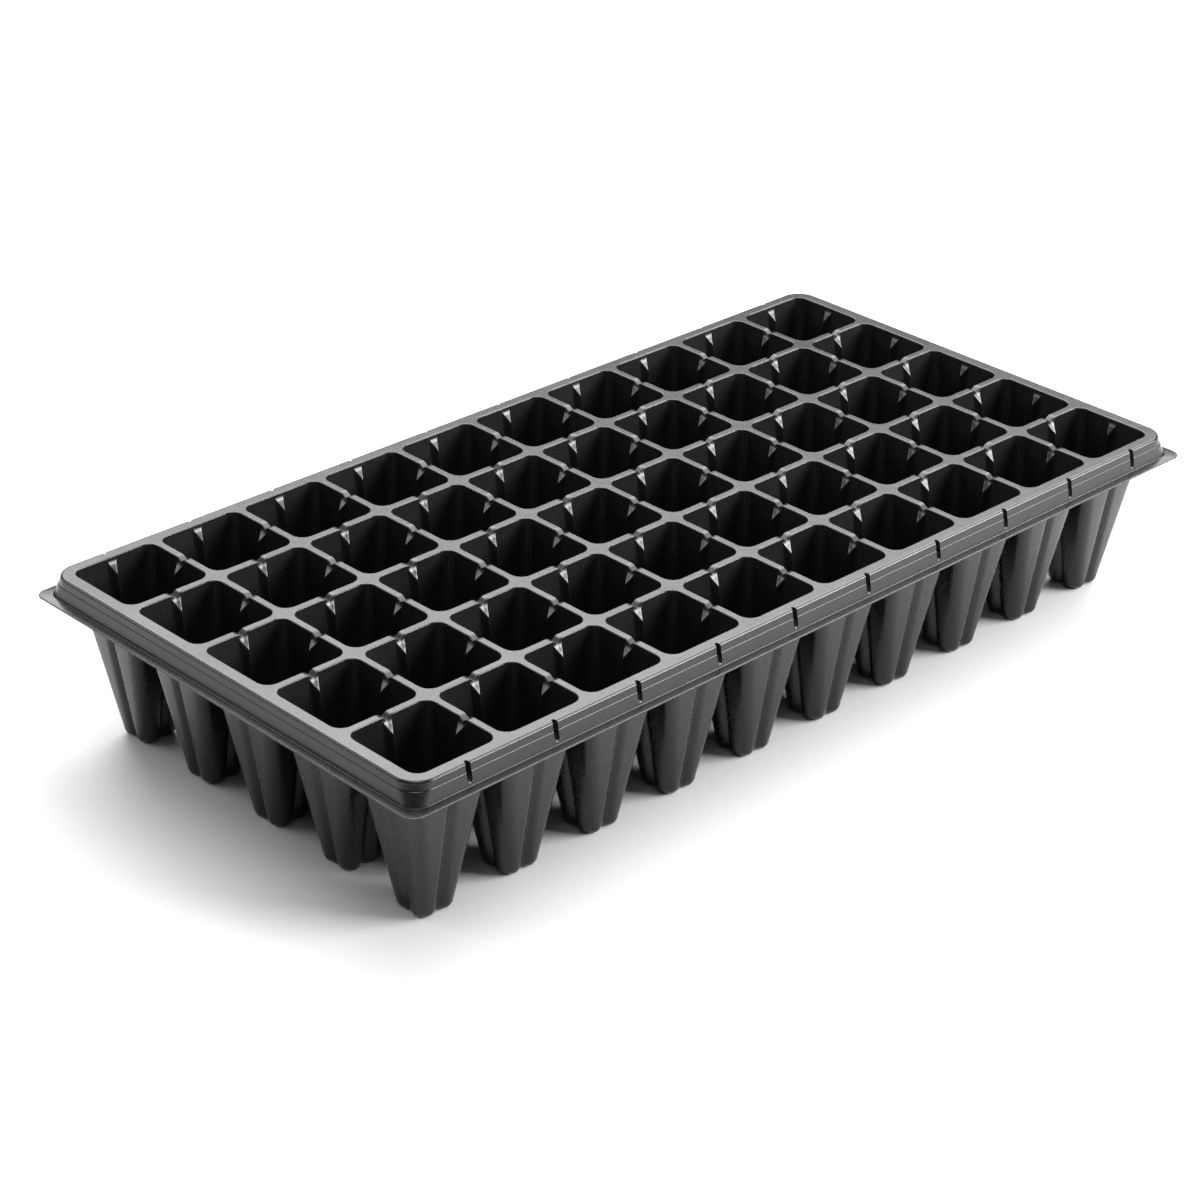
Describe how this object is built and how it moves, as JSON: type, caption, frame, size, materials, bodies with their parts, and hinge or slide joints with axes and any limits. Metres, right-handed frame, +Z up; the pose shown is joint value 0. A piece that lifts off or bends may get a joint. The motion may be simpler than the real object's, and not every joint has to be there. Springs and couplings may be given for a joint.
{
  "type": "plug tray",
  "caption": "Black thermoformed seedling plug tray: rectangular grid of deep tapered square cups with V ribs and drain holes, flat deck, stepped skirt and thin flange.",
  "frame": {"origin": "under the middle of the tray, on the plane that the cups' feet stand on", "axes": "+X along the tray's long side, +Y along its short side, +Z up out of the cups"},
  "size_m": [0.54, 0.28, 0.089],
  "materials": {
    "tray": "satin"
  },
  "bodies": {
    "root": {"cell_row1_col01": "tray", "cell_row1_col02": "tray", "cell_row1_col03": "tray", "cell_row1_col04": "tray", "cell_row1_col05": "tray", "cell_row1_col06": "tray", "cell_row1_col07": "tray", "cell_row1_col08": "tray", "cell_row1_col09": "tray", "cell_row1_col10": "tray", "cell_row2_col01": "tray", "cell_row2_col02": "tray", "cell_row2_col03": "tray", "cell_row2_col04": "tray", "cell_row2_col05": "tray", "cell_row2_col06": "tray", "cell_row2_col07": "tray", "cell_row2_col08": "tray", "cell_row2_col09": "tray", "cell_row2_col10": "tray", "cell_row3_col01": "tray", "cell_row3_col02": "tray", "cell_row3_col03": "tray", "cell_row3_col04": "tray", "cell_row3_col05": "tray", "cell_row3_col06": "tray", "cell_row3_col07": "tray", "cell_row3_col08": "tray", "cell_row3_col09": "tray", "cell_row3_col10": "tray", "cell_row4_col01": "tray", "cell_row4_col02": "tray", "cell_row4_col03": "tray", "cell_row4_col04": "tray", "cell_row4_col05": "tray", "cell_row4_col06": "tray", "cell_row4_col07": "tray", "cell_row4_col08": "tray", "cell_row4_col09": "tray", "cell_row4_col10": "tray", "cell_row5_col01": "tray", "cell_row5_col02": "tray", "cell_row5_col03": "tray", "cell_row5_col04": "tray", "cell_row5_col05": "tray", "cell_row5_col06": "tray", "cell_row5_col07": "tray", "cell_row5_col08": "tray", "cell_row5_col09": "tray", "cell_row5_col10": "tray", "rim_front": "tray", "rim_back": "tray", "rim_left": "tray", "rim_right": "tray", "rim_corner_front_left": "tray", "rim_corner_front_right": "tray", "rim_corner_back_left": "tray", "rim_corner_back_right": "tray"}
  },
  "joints": []
}
